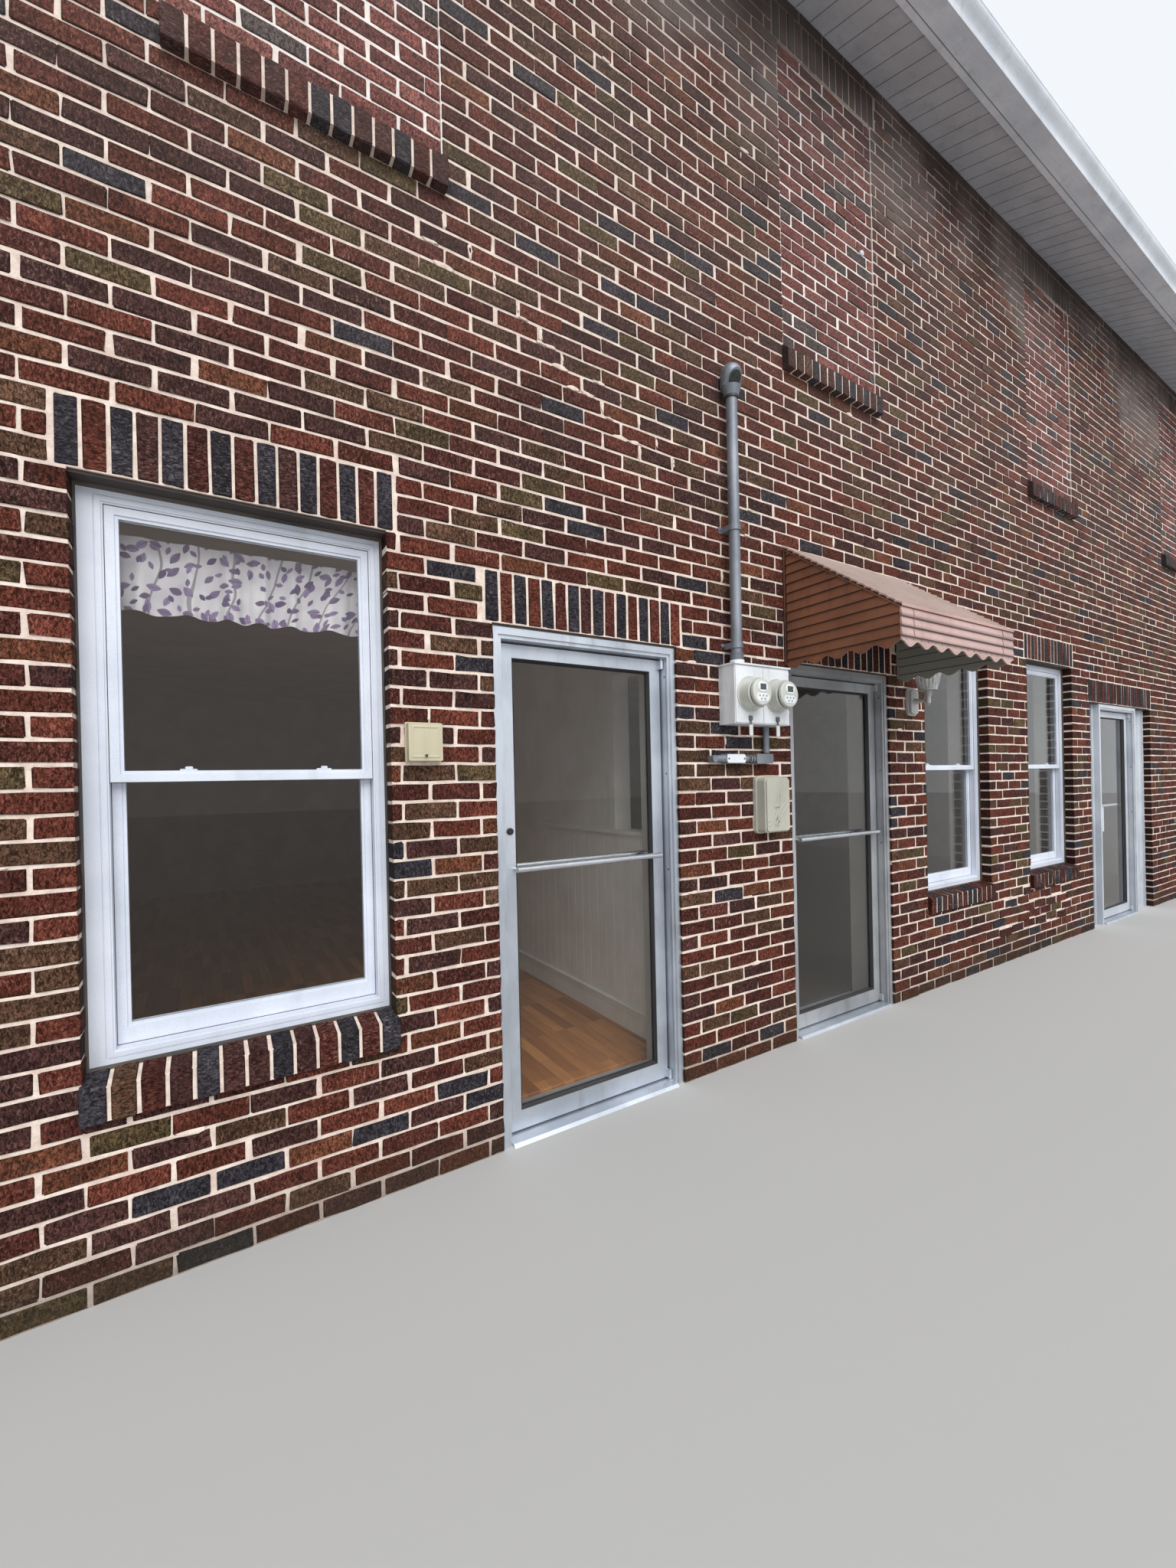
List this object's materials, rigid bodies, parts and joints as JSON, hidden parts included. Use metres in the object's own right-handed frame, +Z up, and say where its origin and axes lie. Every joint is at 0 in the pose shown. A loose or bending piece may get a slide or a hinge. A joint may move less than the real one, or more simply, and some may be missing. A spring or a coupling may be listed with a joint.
{
  "type": "corner shop building",
  "caption": "Two-storey brick shop building with glazed shop doors, sash windows, bricked-in upper windows, a slatted awning and a low gable roof.",
  "frame": {"origin": "on the ground in the middle of the house", "axes": "+X along the street front to the right as seen from the street, +Y from the street towards the back, +Z up"},
  "size_m": [12.723, 9.369, 7.5935],
  "materials": {
    "brickwork": "rug-faced brick with pale mortar",
    "infill_brick": "smooth brick with pale mortar",
    "sill_brick": "dark glazed-looking brick",
    "lintel_steel": "old dark paint",
    "floor_boards": "satin honey laminate",
    "window_vinyl": "white vinyl",
    "glass": "clear",
    "white_paint": "white paint",
    "bright_aluminium": "clear anodised",
    "dark_aluminium": "weathered anodised",
    "white_aluminium": "white paint",
    "awning_rose": "faded rose paint",
    "awning_brown": "brown paint",
    "galvanised_steel": "galvanised",
    "meter_enamel": "pale enamel",
    "meter_cover": "grey-white cover",
    "box_plastic": "grey-beige plastic",
    "cream_plastic": "cream plastic",
    "soffit_white": "white paint",
    "shingles": "dark mineral granules",
    "valance_cloth": "thin printed cotton"
  },
  "bodies": {
    "building": {"ground_floor": "floor_boards", "upper_floor": "floor_boards", "front_wall_left": "brickwork", "front_wall_pier": "brickwork", "front_wall_middle": "brickwork", "front_wall_right": "brickwork", "front_door_heads": "brickwork", "front_wall_upper": "brickwork", "back_wall_lower": "brickwork", "back_wall_upper": "brickwork", "left_wall": "brickwork", "right_wall": "brickwork", "bricked_in_windows": "infill_brick", "brick_sills": "sill_brick", "steel_lintels": "lintel_steel", "window_frames": "window_vinyl", "window_sashes": "window_vinyl", "window_glass": "glass", "window_stools": "white_paint", "door_1_frame": "bright_aluminium", "door_2_frame": "dark_aluminium", "door_3_frame": "white_aluminium", "door_3_side_panels": "white_aluminium", "door_thresholds": "bright_aluminium", "awning_roof": "awning_rose", "awning_wings": "awning_brown", "awning_front": "awning_rose", "service_mast": "galvanised_steel", "meter_box": "meter_enamel", "meters": "meter_cover", "meter_conduit": "galvanised_steel", "telephone_box": "box_plastic", "cable_box": "cream_plastic", "lantern_bracket": "white_aluminium", "lantern_shade": "glass", "soffits": "soffit_white", "fascias": "soffit_white", "gutters": "soffit_white", "roof_front": "shingles", "roof_back": "shingles", "verge_boards": "soffit_white", "ridge_cap": "shingles", "hall_partition": "white_paint", "valance_rod": "white_aluminium", "valance": "valance_cloth"},
    "door_1": {"door_1_leaf": "bright_aluminium", "door_1_glass": "glass", "door_1_push_bars": "bright_aluminium"},
    "door_2": {"door_2_leaf": "dark_aluminium", "door_2_glass": "glass", "door_2_push_bars": "bright_aluminium"},
    "door_3": {"door_3_leaf": "white_aluminium", "door_3_glass": "glass", "door_3_handles": "white_aluminium"}
  },
  "joints": [
    {"name": "door_1_hinge", "type": "hinge", "parent": "building", "child": "door_1", "pos_m": [-3.0105, -4.012, 1], "axis": [0, 0, 1], "range_deg": [0, 90]},
    {"name": "door_2_hinge", "type": "hinge", "parent": "building", "child": "door_2", "pos_m": [-1.2515, -4.012, 1], "axis": [0, 0, 1], "range_deg": [0, 90]},
    {"name": "door_3_hinge", "type": "hinge", "parent": "building", "child": "door_3", "pos_m": [3.1585, -4.012, 1], "axis": [0, 0, 1], "range_deg": [0, 90]}
  ]
}
